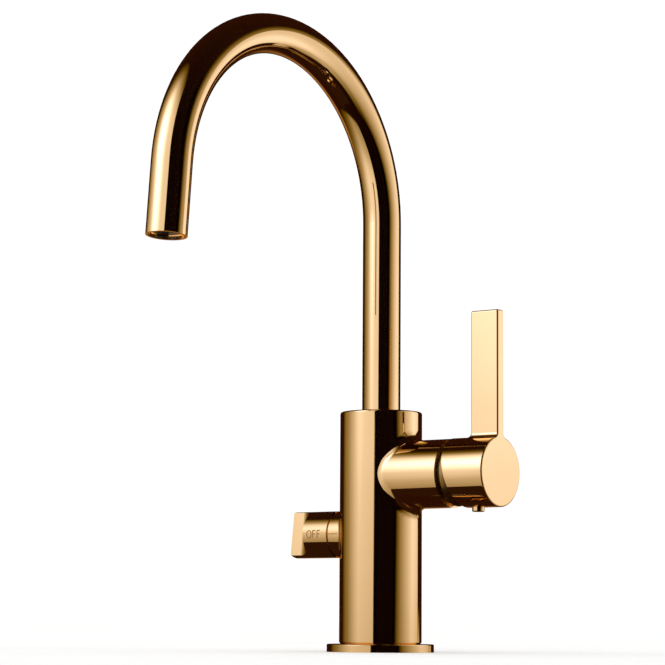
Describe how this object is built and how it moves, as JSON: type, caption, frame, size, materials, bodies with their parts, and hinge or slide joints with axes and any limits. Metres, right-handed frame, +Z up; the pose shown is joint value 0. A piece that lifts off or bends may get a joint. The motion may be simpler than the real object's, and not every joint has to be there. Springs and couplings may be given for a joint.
{
  "type": "kitchen mixer tap",
  "caption": "Gold kitchen mixer tap with a swivelling arched spout, a side lever for flow and temperature, and a dishwasher valve knob on the other side.",
  "frame": {"origin": "centre of the foot, on the worktop", "axes": "+Z up along the column, -Y towards the user along the spout, +X towards the mixing lever"},
  "size_m": [0.1423, 0.2305, 0.35],
  "materials": {
    "gold_pvd": "polished gold PVD coating",
    "raw_brass": "turned brass",
    "stainless_steel": "turned stainless steel",
    "alumina_ceramic": "lapped ceramic",
    "black_rubber": "moulded black rubber",
    "white_acetal": "moulded white acetal",
    "black_acetal": "moulded black acetal"
  },
  "bodies": {
    "body": {"base_flange": "gold_pvd", "base_gasket": "black_rubber", "tap_body": "gold_pvd", "spout_bearing_upper": "black_acetal", "spout_bearing_lower": "white_acetal", "spout_stop_screw": "stainless_steel", "cartridge_base": "white_acetal", "cartridge_housing": "white_acetal", "cartridge_seals": "black_rubber", "cartridge_fixed_disc": "alumina_ceramic", "cartridge_nut": "raw_brass", "dome_ring": "gold_pvd", "valve_headwork": "raw_brass", "valve_seat_washer": "black_rubber", "valve_fixed_disc": "alumina_ceramic", "valve_headwork_o_ring": "black_rubber"},
    "spout": {"spout_tube": "gold_pvd", "spout_spigot": "raw_brass", "spout_o_rings": "black_rubber", "aerator_bush": "gold_pvd", "aerator_insert": "black_acetal", "aerator_washer": "black_rubber"},
    "carrier": {"cartridge_carrier": "white_acetal", "stem_pivot_pin": "stainless_steel"},
    "lever": {"mixer_lever": "gold_pvd", "cartridge_stem": "stainless_steel", "lever_grub_screw": "stainless_steel", "lever_screw_plug": "gold_pvd"},
    "flow_disc": {"cartridge_moving_disc": "alumina_ceramic", "disc_coupler": "white_acetal"},
    "knob": {"valve_knob": "gold_pvd", "valve_spindle": "raw_brass", "valve_spindle_o_rings": "black_rubber", "valve_spindle_clip": "stainless_steel", "valve_moving_disc": "alumina_ceramic", "valve_knob_screw": "stainless_steel"}
  },
  "joints": [
    {"name": "spout_swivel", "type": "hinge", "parent": "body", "child": "spout", "pos_m": [0, 0, 0.128], "axis": [0, 0, 1], "range_deg": [-60, 60]},
    {"name": "lever_temperature", "type": "hinge", "parent": "body", "child": "carrier", "pos_m": [0.0485, 0, 0.1], "axis": [1, 0, 0], "range_deg": [-50, 50]},
    {"name": "lever_flow", "type": "hinge", "parent": "carrier", "child": "lever", "pos_m": [0.0485, 0, 0.1], "axis": [0, 1, 0], "range_deg": [0, 18]},
    {"name": "disc_slide", "type": "slide", "parent": "carrier", "child": "flow_disc", "axis": [0, 0, 1], "range_m": [0, 0.0033]},
    {"name": "valve_turn", "type": "hinge", "parent": "body", "child": "knob", "pos_m": [-0.04, 0, 0.067], "axis": [1, 0, 0], "range_deg": [0, 90]}
  ],
  "couplings": [
    {"joint": "disc_slide", "follows": "lever_flow", "m_per_rad": 0.010457}
  ]
}
